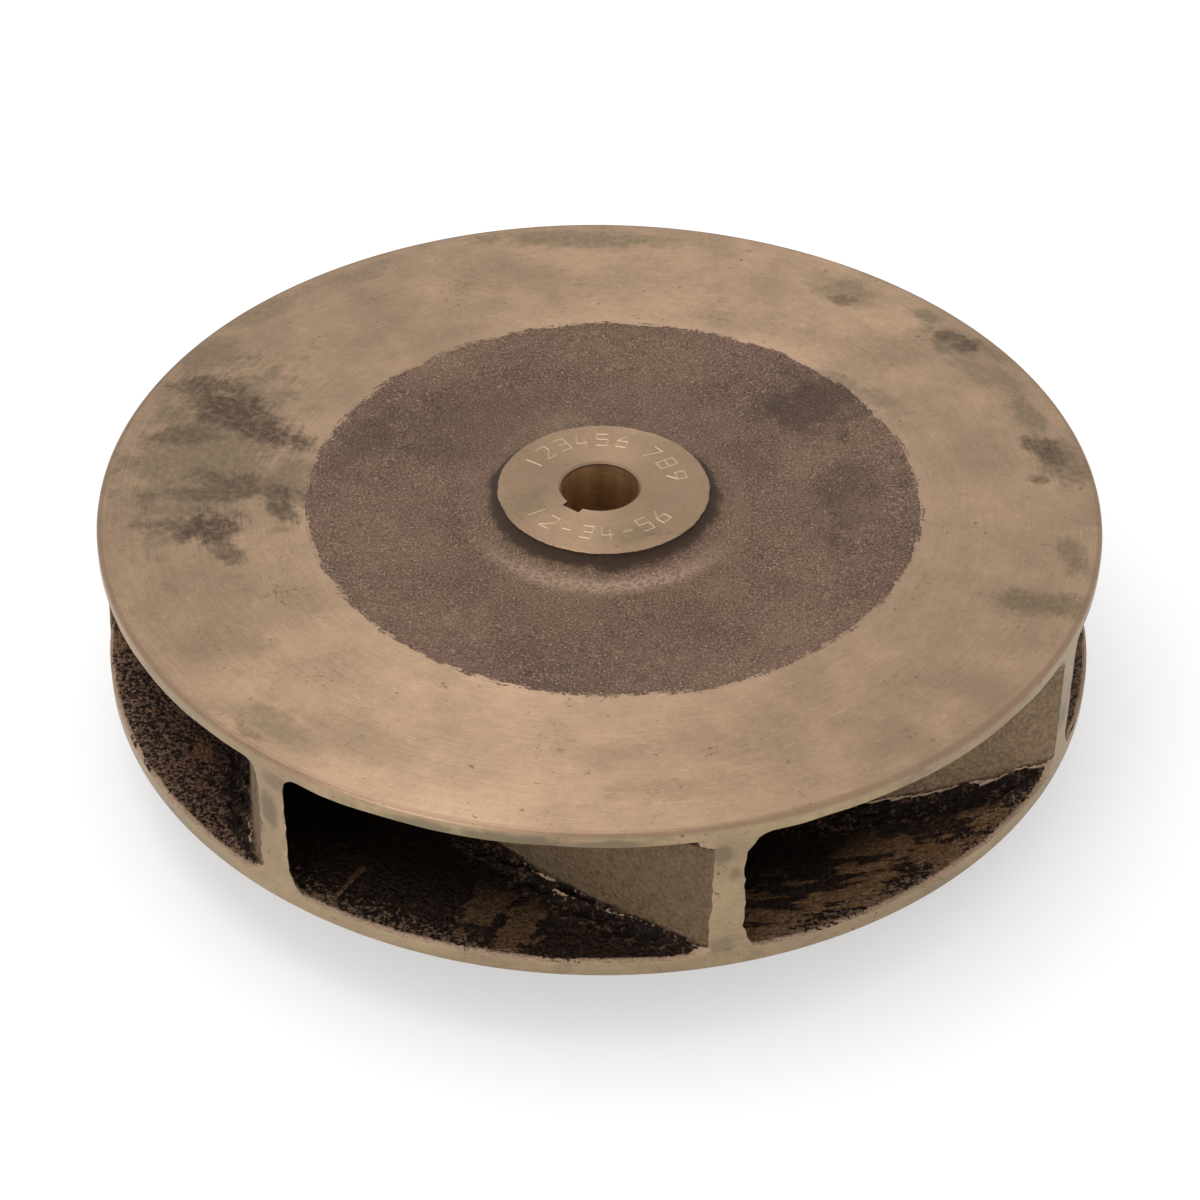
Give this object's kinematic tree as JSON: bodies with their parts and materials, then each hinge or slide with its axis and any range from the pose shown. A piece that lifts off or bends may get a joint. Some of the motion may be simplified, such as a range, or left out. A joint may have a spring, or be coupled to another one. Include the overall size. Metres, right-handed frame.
{
  "type": "pump impeller",
  "caption": "Closed pump impeller: back-swept vanes between disc shrouds, a keyed hub bore and a turned eye ring.",
  "frame": {"origin": "on the bore axis, in the plane of the eye ring's face that the impeller stands on", "axes": "+Z along the bore axis from the eye to the hub face; the keyway points between -X and -Y"},
  "size_m": [0.2413, 0.2412, 0.0657],
  "materials": {
    "bronze": "turned outside, as cast inside"
  },
  "bodies": {
    "root": {"impeller": "bronze"}
  },
  "joints": []
}
